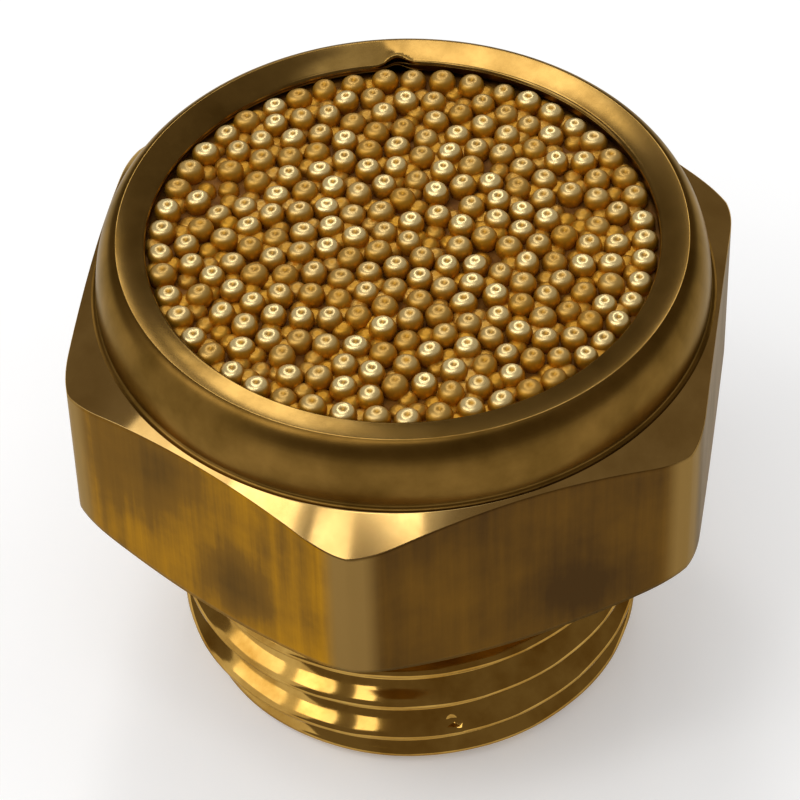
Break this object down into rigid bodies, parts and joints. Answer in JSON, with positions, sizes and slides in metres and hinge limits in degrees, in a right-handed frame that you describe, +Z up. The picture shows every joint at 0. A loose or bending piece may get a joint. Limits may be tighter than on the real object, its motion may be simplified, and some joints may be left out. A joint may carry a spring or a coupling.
{
  "type": "breather vent cap",
  "caption": "Screw-in breather vent: turned brass body with a spanner hexagon and a male pipe thread, holding a sintered bronze bead disc under a rolled lip.",
  "frame": {"origin": "centre of the end face of the threaded stub", "axes": "+Z up along the axis of the thread, from the stub to the disc; two flats of the hexagon face +Y and -Y"},
  "size_m": [0.0192, 0.017, 0.0149],
  "materials": {
    "brass": "turned, satin, lightly tarnished",
    "sintered_bronze": "sintered beads, bright on top"
  },
  "bodies": {
    "root": {"vent_body": "brass", "sintered_disc": "sintered_bronze"}
  },
  "joints": []
}
